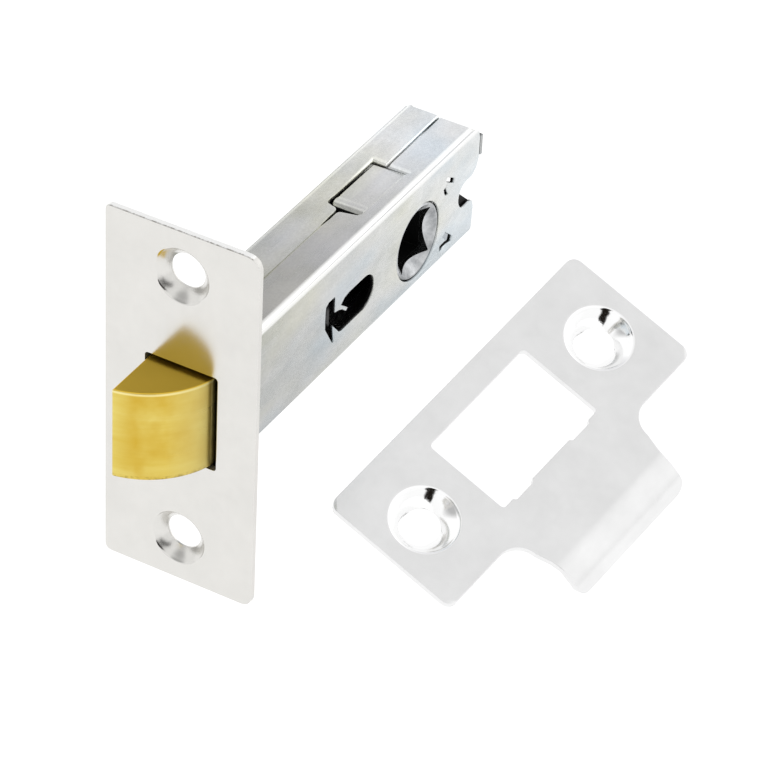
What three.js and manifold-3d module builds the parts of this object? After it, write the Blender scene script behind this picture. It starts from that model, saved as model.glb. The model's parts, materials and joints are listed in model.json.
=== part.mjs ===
// Tubular mortice latch with its strike plate, in millimetres, +Z up.
// The origin is the centre of the faceplate's front face. +Y runs into the door along the case,
// X is the door's thickness, and the latch bolt stands out of the door's edge towards -Y.
import * as THREE from 'three';
import { mergeVertices } from 'three/addons/utils/BufferGeometryUtils.js';
import Module from 'manifold-3d';

const manifold = await Module();
manifold.setup();

// ---------- driving dimensions ----------
const clear = 0.2; // running clearance between sliding pieces

const faceWidth = 25;
const faceHeight = 61;
const faceThickness = 1.2;
const faceCornerRadius = 2.3;
const faceScrewSpacing = 46.2;
const faceScrew = { rimRadius: 4.6, holeRadius: 2.75, coneDepth: 1.85, land: 0.35 };
const faceWindow = { side: 0.95, top: 0.7, bottom: 0.9, corner: 0.6 }; // gaps round the latch bolt

const caseWidth = 12.4;
const caseHeight = 19.8;
const caseWall = 0.8;
const caseBend = 1.2; // outside radius of the four long bends
const caseTopEnd = 73.2; // where the top sheet stops
const caseEarEnd = 75.2; // where the side ears stop
const flangeStep = 0.25; // the left top flange stands this much above the right one
const seamGap = 0.2;

const backset = 57; // faceplate to the spindle's axis
const spindleZ = -1.75; // the spindle and the fixing bolts lie below the case's middle
const spindleSquare = 8;
const fixingPitch = 19; // fixing bolts stand this far before and behind the spindle
const fixingRadius = 2.9;
const followerHoleRadius = 6.4;

const boltWidth = 10.4;
const boltHeight = 14.6;
const boltReach = 10; // how far the bolt stands out of the faceplate
const boltTail = 5; // how far its head reaches behind the faceplate's front
const boltNoseRadius = 14;
const boltBoreRadius = 3.9;
const boltBoreFront = -3; // the bore for the bolt's spring starts here
const boltSpring = { radius: 3, wire: 0.35, turns: 8 };
const returnSpring = { radius: 4.4, wire: 0.45, turns: 5 };

const retractTravel = 9.6; // one full turn of the lever pulls the bolt in this far
const followerLean = 34; // degrees that the follower's horn leans forward at rest

const strikeLength = 61.8;
const strikeWidth = 25;
const strikeThickness = 1.3;
const strikeScrewSpacing = 44.4;
const strikeScrew = { rimRadius: 5.7, holeRadius: 2.95, coneDepth: 2.6, land: 0.3 };
const strikeOpening = { length: 23.8, width: 15.4, offset: 0.1, corner: 0.8 };
const strikeNick = { from: 4.8, to: 9.4, depth: 0.5 }; // small steps in the opening's tongue side
const tongue = {
  rootHalf: 14.4,
  tipHalf: 13.4,
  filletRadius: 4,
  tipRadius: 2.2,
  bendStart: 19.6,
  bendRadius: 7.4,
  bendAngle: 62,
};
const strikePlace = new THREE.Vector3(16.65, 72.8, -42.7);
const strikeLong = new THREE.Vector3(-0.173, -0.943, -0.284); // direction of its long side
const strikeFront = new THREE.Vector3(0.338, -0.3275, 0.8825); // outward normal of its front face

// ---------- worked out values ----------
const caseX = caseWidth / 2;
const caseZ = caseHeight / 2;
const innerX = caseX - caseWall;
const innerZ = caseZ - caseWall;
const boltX = boltWidth / 2;
const boltZ = boltHeight / 2;
const yokeFront = boltTail + retractTravel + 0.4;
const sheet = 1.2; // thickness of the retractor's steel
const abutment = { front: backset - fixingPitch - fixingRadius - 3.5, thickness: 0.8, holeRadius: 3.7 };
const beyond = 5; // cutting tools reach this far past what they cut

// ---------- materials ----------
function metal(color, roughness) {
  return new THREE.MeshStandardMaterial({ color, roughness, metalness: 1 });
}
const satinNickel = metal('#dedbd8', 0.32);
const zincPlate = metal('#cfd2cf', 0.38);
const satinSteel = metal('#e6e6e6', 0.25);
const brass = metal('#d9bb55', 0.3);
const darkSteel = metal('#7c7f82', 0.45);
const springSteel = metal('#a9acae', 0.35);
const castZinc = metal('#b9babb', 0.35);

// ---------- solids ----------
function toSolid(geometry) {
  const bare = geometry.clone();
  bare.deleteAttribute('normal');
  bare.deleteAttribute('uv');
  const merged = mergeVertices(bare, 1e-5);
  const mesh = new manifold.Mesh({
    numProp: 3,
    vertProperties: new Float32Array(merged.attributes.position.array),
    triVerts: new Uint32Array(merged.index.array),
  });
  return new manifold.Manifold(mesh);
}

function toGeometry(solid) {
  const mesh = solid.getMesh();
  const geometry = new THREE.BufferGeometry();
  geometry.setAttribute('position', new THREE.BufferAttribute(new Float32Array(mesh.vertProperties), 3));
  geometry.setIndex(new THREE.BufferAttribute(new Uint32Array(mesh.triVerts), 1));
  geometry.computeVertexNormals();
  return geometry;
}

// Maps a shape's own x, y and its extrusion direction to the directions of an axis's section.
const sections = {
  x: [[0, 1, 0], [0, 0, 1], [1, 0, 0]], // outline in (y, z), extruded along +X
  y: [[1, 0, 0], [0, 0, 1], [0, -1, 0]], // outline in (x, z), extruded along -Y
  z: [[1, 0, 0], [0, 1, 0], [0, 0, 1]], // outline in (x, y), extruded along +Z
};

function prism(axis, outline, from, to, curveSegments = 8) {
  const settings = { depth: to - from, bevelEnabled: false, curveSegments };
  const geometry = new THREE.ExtrudeGeometry(outline, settings);
  const [first, second, along] = sections[axis].map((v) => new THREE.Vector3(...v));
  geometry.applyMatrix4(new THREE.Matrix4().makeBasis(first, second, along));
  geometry.translate(...along.multiplyScalar(axis === 'y' ? -to : from));
  return toSolid(geometry);
}

function box(x0, x1, y0, y1, z0, z1) {
  const geometry = new THREE.BoxGeometry(x1 - x0, y1 - y0, z1 - z0);
  geometry.translate((x0 + x1) / 2, (y0 + y1) / 2, (z0 + z1) / 2);
  return toSolid(geometry);
}

function cylinder(axis, radius, from, to, centre, sides = 32) {
  const geometry = new THREE.CylinderGeometry(radius, radius, to - from, sides);
  const turn = { x: [0, 0, Math.PI / 2], y: [0, 0, 0], z: [Math.PI / 2, 0, 0] }[axis];
  geometry.rotateX(turn[0]);
  geometry.rotateZ(turn[2]);
  const middle = (from + to) / 2;
  const place = { x: [middle, ...centre], y: [centre[0], middle, centre[1]], z: [...centre, middle] }[axis];
  geometry.translate(...place);
  return toSolid(geometry);
}

// A solid of revolution about the Y axis from [radius, y] points.
function turned(points, sides = 40) {
  const profile = points.map(([radius, y]) => new THREE.Vector2(radius, y));
  profile.push(profile[0].clone());
  return toSolid(new THREE.LatheGeometry(profile, sides));
}

function roundedRect(x0, x1, y0, y1, radius) {
  const shape = new THREE.Shape();
  shape.moveTo(x0 + radius, y0);
  shape.lineTo(x1 - radius, y0);
  shape.absarc(x1 - radius, y0 + radius, radius, -Math.PI / 2, 0, false);
  shape.lineTo(x1, y1 - radius);
  shape.absarc(x1 - radius, y1 - radius, radius, 0, Math.PI / 2, false);
  shape.lineTo(x0 + radius, y1);
  shape.absarc(x0 + radius, y1 - radius, radius, Math.PI / 2, Math.PI, false);
  shape.lineTo(x0, y0 + radius);
  shape.absarc(x0 + radius, y0 + radius, radius, Math.PI, Math.PI * 1.5, false);
  return shape;
}

function polygon(points) {
  return new THREE.Shape(points.map(([x, y]) => new THREE.Vector2(x, y)));
}

function named(name, geometry, material) {
  const mesh = new THREE.Mesh(geometry, material);
  mesh.name = name;
  return mesh;
}

// A pressed ring takes a little of the flat sheet with it, and its wall is thinner than the sheet.
const pressedRim = { flat: 1.2, wall: 0.8 };

// Pressed countersink about the Y axis: a cone and a short land that stand out behind the sheet.
function pressedCountersink({ rimRadius, holeRadius, coneDepth, land }, thickness) {
  const slope = (rimRadius - holeRadius) / coneDepth;
  const bottom = coneDepth + land;
  const outer = rimRadius + pressedRim.flat;
  const back = holeRadius + pressedRim.wall;
  return turned([
    [holeRadius, coneDepth],
    [rimRadius, 0],
    [outer, 0],
    [outer, thickness],
    [back + slope * (bottom - thickness), thickness],
    [back, bottom],
    [holeRadius, bottom],
  ]);
}

// The sheet with a countersink's disc cut out of it, so that the pressed ring fits in.
function cutForCountersink(plate, axis, { rimRadius }, centre) {
  const radius = rimRadius + pressedRim.flat / 2;
  return plate.subtract(cylinder(axis, radius, -beyond, beyond, centre, 44));
}

// ---------- faceplate ----------
function faceplate() {
  const half = faceWidth / 2;
  const outline = roundedRect(-half, half, -faceHeight / 2, faceHeight / 2, faceCornerRadius);
  const { side: gap, top, bottom, corner } = faceWindow;
  const window = roundedRect(-boltX - gap, boltX + gap, -boltZ - bottom, boltZ + top, corner);
  let plate = prism('y', outline, 0, faceThickness);
  plate = plate.subtract(prism('y', window, -beyond, beyond));
  for (const side of [-1, 1]) {
    const z = (side * faceScrewSpacing) / 2;
    plate = cutForCountersink(plate, 'y', faceScrew, [0, z]);
    plate = plate.add(pressedCountersink(faceScrew, faceThickness).translate(0, 0, z));
  }
  return toGeometry(plate);
}

// ---------- case ----------
// The folded sheet in cross-section: a tube that is open at the seam along its top.
function caseSection() {
  const outer = caseBend;
  const inner = caseBend - caseWall;
  const rightTop = caseZ - flangeStep;
  const seam = seamGap / 2;
  const shape = new THREE.Shape();
  shape.moveTo(-seam, caseZ);
  shape.absarc(-caseX + outer, caseZ - outer, outer, Math.PI / 2, Math.PI, false);
  shape.absarc(-caseX + outer, -caseZ + outer, outer, Math.PI, Math.PI * 1.5, false);
  shape.absarc(caseX - outer, -caseZ + outer, outer, -Math.PI / 2, 0, false);
  shape.absarc(caseX - outer, rightTop - outer, outer, 0, Math.PI / 2, false);
  shape.lineTo(seam, rightTop);
  shape.lineTo(seam, rightTop - caseWall);
  shape.absarc(caseX - outer, rightTop - outer, inner, Math.PI / 2, 0, true);
  shape.absarc(caseX - outer, -caseZ + outer, inner, 0, -Math.PI / 2, true);
  shape.absarc(-caseX + outer, -caseZ + outer, inner, Math.PI * 1.5, Math.PI, true);
  shape.absarc(-caseX + outer, caseZ - outer, inner, Math.PI, Math.PI / 2, true);
  shape.lineTo(-seam, caseZ - caseWall);
  return shape;
}

// Half-round notch in both ears for the rear fixing bolt; lip is where its upper edge ends.
const notch = { inner: 69.3, radius: 2.3, lip: 73.3, z: -1.2 };
const ear = { shoulder: 0.9, side: 2.6, corner: 3.2 }; // drops from the top, and its lower corner
const lowerEar = { end: caseTopEnd + 1, drop: 1.4, bottomEnd: caseTopEnd + 0.6, lip: 0.4 };
const strip = { low: 3.6, high: 7.1, gap: 0.3 }; // end of the left ear, folded across the back

// Everything behind the case's rear end in side view: the top edge, the ears and the open notch.
function rearCut() {
  const far = caseEarEnd + beyond;
  const high = caseZ + beyond;
  const notchTop = notch.z + notch.radius;
  const notchBottom = notch.z - notch.radius;
  const shape = new THREE.Shape();
  shape.moveTo(far, high);
  shape.lineTo(caseTopEnd, high);
  shape.lineTo(caseTopEnd, caseZ - ear.shoulder);
  shape.quadraticCurveTo(caseEarEnd, caseZ - ear.shoulder, caseEarEnd, caseZ - ear.side);
  shape.lineTo(caseEarEnd, ear.corner);
  shape.quadraticCurveTo(caseEarEnd, notchTop, notch.lip, notchTop);
  shape.lineTo(notch.inner + notch.radius, notchTop);
  shape.absarc(notch.inner + notch.radius, notch.z, notch.radius, Math.PI / 2, Math.PI * 1.5, false);
  shape.lineTo(notch.lip - lowerEar.lip, notchBottom);
  shape.quadraticCurveTo(lowerEar.end, notchBottom, lowerEar.end, notchBottom - lowerEar.drop);
  shape.lineTo(lowerEar.bottomEnd, -high);
  shape.lineTo(far, -high);
  return shape;
}

// Fixing slot with the lanced window's throat in front of it, in side view.
const slot = { rear: backset - fixingPitch + 3, straight: 3.4, taper: 3.5, throat: 1.4 };

function sideSlot() {
  const front = slot.rear - slot.straight;
  const shape = new THREE.Shape();
  shape.absarc(slot.rear, spindleZ, fixingRadius, -Math.PI / 2, Math.PI / 2, false);
  shape.lineTo(front, spindleZ + fixingRadius);
  shape.lineTo(front - slot.taper, spindleZ + slot.throat);
  shape.lineTo(front - slot.taper, spindleZ - slot.throat);
  shape.lineTo(front, spindleZ - fixingRadius);
  return shape;
}

const lancedWindow = { y0: 29.8, y1: 32.4, z0: -5, z1: 2.8 };
const throat = { y0: 31.9, y1: 34.6, z0: -2.55, z1: -0.35 }; // joins the window to the slot
const topWindow = { x0: -2.35, x1: 3.6, y0: 43.8, y1: 57.4 };
const lockingTab = { left: 0.3, front: 0.8, rear: 0.5, drop: 0.55 }; // gaps round it, and its drop

function caseShell() {
  const wide = caseX + beyond;
  let shell = prism('y', caseSection(), faceThickness, caseEarEnd, 6);
  shell = shell.subtract(prism('x', rearCut(), -wide, wide, 6));
  shell = shell.subtract(cylinder('x', followerHoleRadius, -wide, wide, [backset, spindleZ], 48));
  shell = shell.subtract(prism('x', sideSlot(), -wide, wide, 8));
  for (const { y0, y1, z0, z1 } of [lancedWindow, throat]) {
    shell = shell.subtract(box(-wide, wide, y0, y1, z0, z1));
  }
  const { x0, x1, y0, y1 } = topWindow;
  shell = shell.subtract(box(x0, x1, y0, y1, innerZ - caseWall, caseZ + beyond));
  // The right flange's locking tab fills the window, a little below the outer surface.
  const tab = lockingTab;
  const tabTop = caseZ - tab.drop;
  const root = x1 + 0.1; // overlaps the flange it belongs to
  shell = shell.add(box(x0 + tab.left, root, y0 + tab.front, y1 - tab.rear, tabTop - caseWall, tabTop));
  // The left ear is folded across the back of the case.
  const back = caseEarEnd + strip.gap;
  const backEnd = back + caseWall;
  shell = shell.add(box(-caseX, -innerX, caseEarEnd - 1, backEnd, strip.low, strip.high));
  shell = shell.add(box(-caseX, caseX, back, backEnd, strip.low, strip.high));
  return toGeometry(shell);
}

// Plate across the case that the return spring pushes on, held in the lanced windows by its ears.
function springAbutment() {
  const { front, thickness, holeRadius } = abutment;
  const rear = front + thickness;
  const edge = innerX - clear;
  const top = retractorStrap.low - clear;
  const plate = box(-edge, edge, front, rear, -innerZ + clear, top);
  return toGeometry(plate.subtract(cylinder('y', holeRadius, front - 1, rear + 1, [0, 0], 28)));
}

// ---------- retractor ----------
const retractorStrap = { low: 5.6, high: 8.2, outer: 5.1, thickness: 0.9, yokeLow: -6, tail: 2.2 };
const pullPin = { radius: 1, height: 9.05, z: spindleZ + 9.05, gap: 0.25, fit: 0.03 };

// Where the pull pin rests, just behind the leaning horn.
function pullPinRest() {
  const lean = THREE.MathUtils.degToRad(followerLean);
  const reach = pullPin.radius + follower.hornThickness / 2;
  return backset - pullPin.height * Math.tan(lean) + reach / Math.cos(lean) + pullPin.gap;
}

function retractor() {
  const { low, high, outer, thickness, yokeLow, tail } = retractorStrap;
  const rear = pullPinRest() + tail;
  const yokeRear = yokeFront + sheet;
  let body = box(-outer, outer, yokeFront, yokeRear, yokeLow, high);
  body = body.add(box(-outer, -outer + thickness, yokeFront, rear, low, high));
  body = body.add(box(outer - thickness, outer, yokeFront, rear, low, high));
  body = body.subtract(cylinder('y', rod.radius + clear, yokeFront - 1, yokeRear + 1, [0, 0], 24));
  const hole = cylinder('x', pullPin.radius + pullPin.fit, -caseX, caseX, [pullPinRest(), pullPin.z], 24);
  return toGeometry(body.subtract(hole));
}

function pullPinGeometry() {
  const half = retractorStrap.outer;
  const radius = pullPin.radius - pullPin.fit;
  return toGeometry(cylinder('x', radius, -half, half, [pullPinRest(), pullPin.z], 20));
}

// ---------- follower ----------
const follower = {
  flangeRadius: 7,
  flangeHalf: 4.9,
  journalRadius: 6.25,
  journalHalf: 5.95,
  hornThickness: 2.6,
  hornLength: 10.1,
  hornHalf: 1.8,
  mouthRadius: 5.8,
  mouthInner: 3.2,
  mouthDepth: 2,
};

// The follower about its own axis, with its horn straight up.
function followerGeometry() {
  const f = follower;
  let body = cylinder('x', f.flangeRadius, -f.flangeHalf, f.flangeHalf, [0, 0], 44);
  body = body.add(cylinder('x', f.journalRadius, -f.journalHalf, f.journalHalf, [0, 0], 44));
  body = body.add(box(-f.hornHalf, f.hornHalf, -f.hornThickness / 2, f.hornThickness / 2, 3, f.hornLength));
  const half = spindleSquare / 2;
  body = body.subtract(box(-10, 10, -half, half, -half, half).rotate([-followerLean, 0, 0]));
  for (const side of [-1, 1]) {
    const mouth = new THREE.CylinderGeometry(f.mouthRadius, f.mouthInner, f.mouthDepth, 44);
    mouth.rotateZ((-side * Math.PI) / 2);
    mouth.translate(side * (f.journalHalf + 0.01 - f.mouthDepth / 2), 0, 0);
    body = body.subtract(toSolid(mouth));
  }
  return toGeometry(body);
}

// ---------- latch bolt ----------
// The rod's groove holds the clip that keeps the washer against the retractor's yoke.
const groove = { from: yokeFront + sheet + 1.1, width: 0.8, depth: 0.45 };
const rod = { radius: 1.8, front: -6.5, end: groove.from + 1.3, chamfer: 0.4, fit: 0.03 };
const washer = { outer: 3.3, from: yokeFront + sheet + 0.1, to: groove.from - 0.5 };
const clip = { outer: 2.9, mouth: 1.1, gap: 0.05 };

// Plan outline of the bolt: flat on the left, a convex nose that closes against the strike.
function boltOutline() {
  const centreX = -boltX - 2.2;
  const centreY = boltNoseRadius - boltReach - 0.2;
  const noseAngle = (x) => -Math.acos((x - centreX) / boltNoseRadius);
  const tipX = -boltX + 0.3;
  const shape = new THREE.Shape();
  shape.moveTo(-boltX, boltTail);
  shape.lineTo(-boltX, -boltReach + 0.35);
  shape.absarc(centreX, centreY, boltNoseRadius, noseAngle(tipX), noseAngle(boltX), false);
  shape.lineTo(boltX, boltTail);
  return shape;
}

function latchBolt() {
  let body = prism('z', boltOutline(), -boltZ, boltZ, 16);
  body = body.subtract(cylinder('y', boltBoreRadius, boltBoreFront, boltTail + 1, [0, 0], 32));
  body = body.subtract(cylinder('y', rod.radius + rod.fit, rod.front - 0.1, 0, [0, 0], 24));
  return toGeometry(body);
}

function boltRod() {
  const { radius, front, end, chamfer } = rod;
  const neck = radius - groove.depth;
  const grooveEnd = groove.from + groove.width;
  const body = turned([
    [0, front],
    [radius - chamfer, front],
    [radius, front + chamfer],
    [radius, groove.from],
    [neck, groove.from],
    [neck, grooveEnd],
    [radius, grooveEnd],
    [radius - chamfer, end],
    [0, end],
  ], 24);
  return toGeometry(body);
}

function rodWasher() {
  const inner = rod.radius + 0.1;
  const { outer, from, to } = washer;
  return toGeometry(turned([[inner, from], [outer, from], [outer, to], [inner, to]], 32));
}

// Open ring that snaps into the rod's groove.
function rodClip() {
  const inner = rod.radius - groove.depth + clip.gap;
  const from = groove.from + clip.gap;
  const to = groove.from + groove.width - clip.gap;
  const ring = turned([[inner, from], [clip.outer, from], [clip.outer, to], [inner, to]], 32);
  return toGeometry(ring.subtract(box(-clip.mouth, clip.mouth, from - 1, to + 1, 0, caseZ)));
}

// ---------- springs ----------
class Coil extends THREE.Curve {
  constructor(radius, turns, y0, y1) {
    super();
    Object.assign(this, { radius, turns, y0, y1 });
  }

  getPoint(t, target = new THREE.Vector3()) {
    const angle = 2 * Math.PI * this.turns * t;
    const y = this.y0 + (this.y1 - this.y0) * t;
    return target.set(this.radius * Math.cos(angle), y, this.radius * Math.sin(angle));
  }
}

function coilSpring({ radius, wire, turns }, y0, y1) {
  const circle = new THREE.Shape();
  circle.absarc(0, 0, wire, 0, 2 * Math.PI, false);
  const room = wire * 1.2; // the wire's thickness, with a little room at each end
  const path = new Coil(radius, turns, y0 + room, y1 - room);
  const stepsPerTurn = 16;
  const steps = turns * stepsPerTurn;
  const geometry = new THREE.ExtrudeGeometry(circle, { steps, extrudePath: path, curveSegments: 3 });
  return toGeometry(toSolid(geometry));
}

// ---------- strike plate ----------
// In its own frame: long side along X, tongue towards +Y, front face at z = 0 facing +Z.
function strikeOutline() {
  const long = strikeLength / 2;
  const edge = strikeWidth / 2;
  const corner = 1.8;
  const { rootHalf, tipHalf, filletRadius, bendStart } = tongue;
  const filletX = rootHalf + filletRadius;
  const filletY = edge + filletRadius;
  const tip = bendStart + 0.5;
  const shape = new THREE.Shape();
  shape.moveTo(-long + corner, -edge);
  shape.absarc(long - corner, -edge + corner, corner, -Math.PI / 2, 0, false);
  shape.absarc(long - corner, edge - corner, corner, 0, Math.PI / 2, false);
  shape.absarc(filletX, filletY, filletRadius, -Math.PI / 2, -Math.PI, true);
  shape.lineTo(tipHalf, tip);
  shape.lineTo(-tipHalf, tip);
  shape.absarc(-filletX, filletY, filletRadius, 0, -Math.PI / 2, true);
  shape.absarc(-long + corner, edge - corner, corner, Math.PI / 2, Math.PI, false);
  shape.absarc(-long + corner, -edge + corner, corner, Math.PI, Math.PI * 1.5, false);
  return shape;
}

// The tongue's rolled lip in side view, in (y, z).
function lipSection() {
  const { bendStart, bendRadius, bendAngle } = tongue;
  const stop = Math.PI / 2 - THREE.MathUtils.degToRad(bendAngle);
  const shape = new THREE.Shape();
  shape.moveTo(bendStart - 1, 0);
  shape.absarc(bendStart, -bendRadius, bendRadius, Math.PI / 2, stop, true);
  shape.absarc(bendStart, -bendRadius, bendRadius - strikeThickness, stop, Math.PI / 2, false);
  shape.lineTo(bendStart - 1, -strikeThickness);
  return shape;
}

function strikePlate() {
  const { length, width, offset, corner } = strikeOpening;
  const { tipHalf, tipRadius, bendStart, bendRadius, bendAngle } = tongue;
  const lipEnd = bendStart + bendRadius * Math.sin(THREE.MathUtils.degToRad(bendAngle)) + 0.01;
  let plate = prism('z', strikeOutline(), -strikeThickness, 0, 8);
  const lipPlan = roundedRect(-tipHalf, tipHalf, bendStart - beyond, lipEnd, tipRadius);
  const lipMask = prism('z', lipPlan, -bendRadius, beyond, 6);
  const lip = prism('x', lipSection(), -tipHalf, tipHalf, 12).intersect(lipMask);
  plate = plate.add(lip);
  const y0 = offset - width / 2;
  const y1 = offset + width / 2;
  const hole = roundedRect(-length / 2, length / 2, y0, y1, corner);
  plate = plate.subtract(prism('z', hole, -beyond, beyond, 4));
  const { from, to, depth } = strikeNick;
  for (const side of [-1, 1]) {
    const start = side > 0 ? from : -to;
    plate = plate.subtract(box(start, start + to - from, y1 - 1, y1 + depth, -beyond, beyond));
    const x = (side * strikeScrewSpacing) / 2;
    plate = cutForCountersink(plate, 'z', strikeScrew, [x, 0]);
    const dimple = pressedCountersink(strikeScrew, strikeThickness).rotate([-90, 0, 0]);
    plate = plate.add(dimple.translate(x, 0, 0));
  }
  return toGeometry(plate);
}

// ---------- assembly ----------
const group = new THREE.Group();

const latchCase = new THREE.Group();
latchCase.add(named('faceplate', faceplate(), satinNickel));
latchCase.add(named('case_shell', caseShell(), zincPlate));
latchCase.add(named('spring_abutment', springAbutment(), darkSteel));
group.add(latchCase);

const spindleHub = new THREE.Group();
spindleHub.position.set(0, backset, spindleZ);
const followerMesh = named('follower', followerGeometry(), castZinc);
followerMesh.rotation.x = THREE.MathUtils.degToRad(followerLean);
spindleHub.add(followerMesh);
group.add(spindleHub);

const carriage = new THREE.Group();
carriage.add(named('retractor', retractor(), darkSteel));
carriage.add(named('pull_pin', pullPinGeometry(), springSteel));
group.add(carriage);

const boltGroup = new THREE.Group();
boltGroup.add(named('latch_bolt', latchBolt(), brass));
boltGroup.add(named('bolt_rod', boltRod(), springSteel));
boltGroup.add(named('rod_washer', rodWasher(), zincPlate));
boltGroup.add(named('rod_clip', rodClip(), springSteel));
group.add(boltGroup);

const boltCoil = coilSpring(boltSpring, boltBoreFront, yokeFront);
group.add(named('bolt_spring', boltCoil, springSteel));
const returnCoil = coilSpring(returnSpring, yokeFront + sheet, abutment.front);
group.add(named('return_spring', returnCoil, springSteel));

const strike = new THREE.Group();
const strikeTongue = new THREE.Vector3().crossVectors(strikeFront, strikeLong).normalize();
const strikeAlong = new THREE.Vector3().crossVectors(strikeTongue, strikeFront).normalize();
strike.quaternion.setFromRotationMatrix(
  new THREE.Matrix4().makeBasis(strikeAlong, strikeTongue, strikeFront.clone().normalize()),
);
strike.position.copy(strikePlace);
strike.add(named('strike_plate', strikePlate(), satinSteel));
group.add(strike);

export default group;
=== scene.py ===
import json
import math

import bmesh
import bpy
import numpy as np
from mathutils import Matrix, Vector
from mathutils.geometry import delaunay_2d_cdt


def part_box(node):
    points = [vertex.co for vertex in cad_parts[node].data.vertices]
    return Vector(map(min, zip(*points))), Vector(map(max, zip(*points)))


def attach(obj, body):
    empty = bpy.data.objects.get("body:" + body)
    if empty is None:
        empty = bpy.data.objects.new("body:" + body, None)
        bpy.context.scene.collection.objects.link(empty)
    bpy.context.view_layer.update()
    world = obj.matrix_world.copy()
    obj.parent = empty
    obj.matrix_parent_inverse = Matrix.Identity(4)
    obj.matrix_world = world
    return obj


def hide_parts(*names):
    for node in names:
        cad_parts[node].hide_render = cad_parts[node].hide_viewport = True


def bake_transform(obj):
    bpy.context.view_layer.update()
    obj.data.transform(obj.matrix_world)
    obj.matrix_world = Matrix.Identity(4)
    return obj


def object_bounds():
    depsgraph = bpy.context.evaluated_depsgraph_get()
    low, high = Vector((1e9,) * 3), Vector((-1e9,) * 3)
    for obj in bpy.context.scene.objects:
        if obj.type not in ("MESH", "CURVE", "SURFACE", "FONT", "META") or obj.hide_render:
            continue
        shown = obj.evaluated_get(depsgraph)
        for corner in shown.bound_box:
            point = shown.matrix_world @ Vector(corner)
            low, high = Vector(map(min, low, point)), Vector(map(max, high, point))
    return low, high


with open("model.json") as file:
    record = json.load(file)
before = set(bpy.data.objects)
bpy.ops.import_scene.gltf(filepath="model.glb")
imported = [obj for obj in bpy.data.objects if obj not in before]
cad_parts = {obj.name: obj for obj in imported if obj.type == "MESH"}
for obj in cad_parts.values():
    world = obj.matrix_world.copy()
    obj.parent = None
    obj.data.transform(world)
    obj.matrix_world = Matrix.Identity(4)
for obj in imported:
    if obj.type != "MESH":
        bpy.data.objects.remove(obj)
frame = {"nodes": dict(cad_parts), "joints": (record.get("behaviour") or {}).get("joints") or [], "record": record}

cad_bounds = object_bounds()

MM = 0.001


def mm_box(node):
    """Lowest and highest corner of a CAD node, in millimetres."""
    low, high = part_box(node)
    return np.array(low) / MM, np.array(high) / MM


_, face_high = mm_box("faceplate")
case_low, case_high = mm_box("case_shell")
bolt_low, bolt_high = mm_box("latch_bolt")
rod_low, rod_high = mm_box("bolt_rod")
retractor_low, _ = mm_box("retractor")
abutment_low, _ = mm_box("spring_abutment")
_, follower_high = mm_box("follower")
joints = {j["name"]: j for j in frame["joints"]}
mounts = {m["name"]: m for m in frame["record"]["mounts"]}
spindle = np.array(joints["spindle_turn"]["pos_m"]) / MM

# ---------------------------------------------------------------- outlines


def arc(cx, cy, radius, start, end, steps=8):
    """Points on an arc, angles in degrees; the sign of end - start gives its direction."""
    angles = np.radians(np.linspace(start, end, steps + 1))
    return [(cx + radius * math.cos(a), cy + radius * math.sin(a)) for a in angles]


def rounded_rect(x0, x1, y0, y1, radius, steps=6):
    return (
        arc(x1 - radius, y0 + radius, radius, -90, 0, steps)
        + arc(x1 - radius, y1 - radius, radius, 0, 90, steps)
        + arc(x0 + radius, y1 - radius, radius, 90, 180, steps)
        + arc(x0 + radius, y0 + radius, radius, 180, 270, steps)
    )


def circle(cx, cy, radius, steps=64):
    return arc(cx, cy, radius, 0, 360, steps)[:-1]


def fillet(points, radii, steps=5):
    """Rounds the corners of a polygon; radii holds one radius per corner, 0 for a sharp one."""
    out = []
    count = len(points)
    for i, radius in enumerate(radii):
        p = np.array(points[i], float)
        if radius <= 0:
            out.append(tuple(p))
            continue
        before = np.array(points[i - 1], float) - p
        after = np.array(points[(i + 1) % count], float) - p
        before_len, after_len = np.linalg.norm(before), np.linalg.norm(after)
        before, after = before / before_len, after / after_len
        half = math.acos(np.clip(before @ after, -1, 1)) / 2
        cut = min(radius / math.tan(half), 0.49 * before_len, 0.49 * after_len)
        start, end = p + before * cut, p + after * cut
        for t in np.linspace(0, 1, steps + 1):
            out.append(tuple((1 - t) ** 2 * start + 2 * t * (1 - t) * p + t * t * end))
    return out


def loop_sides(loop):
    """The sides of a closed loop, as (start, end) pairs."""
    return list(zip(loop, loop[1:] + loop[:1]))


def signed_area(loop):
    """Positive when the loop runs anticlockwise."""
    x, y = np.array(loop).T
    return 0.5 * float(np.sum(x * np.roll(y, -1) - np.roll(x, -1) * y))


def clean(loop, gap=0.01):
    """Drops points that repeat the one before them."""
    kept = []
    for p in loop:
        if not kept or math.dist(p, kept[-1]) > gap:
            kept.append(p)
    if math.dist(kept[0], kept[-1]) <= gap:
        kept.pop()
    return kept


def inset(loop, distance):
    """The loop moved into the material, which lies to its left."""
    p = np.array(loop)
    edge = np.roll(p, -1, 0) - p
    edge /= np.linalg.norm(edge, axis=1)[:, None]
    normal = np.stack([-edge[:, 1], edge[:, 0]], 1)
    before = np.roll(normal, 1, 0)
    spread = 1 + np.sum(before * normal, 1)
    return p + distance * (before + normal) / np.maximum(spread, 0.4)[:, None]


def inside(points, loop):
    """Which points lie inside a closed loop."""
    x, y = points[:, 0], points[:, 1]
    a = np.array(loop)
    b = np.roll(a, -1, 0)
    result = np.zeros(len(points), bool)
    for (x0, y0), (x1, y1) in zip(a, b):
        crosses = (y0 > y) != (y1 > y)
        with np.errstate(divide="ignore", invalid="ignore"):
            at = (x1 - x0) * (y - y0) / (y1 - y0) + x0
        result ^= crosses & (x < at)
    return result


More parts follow.
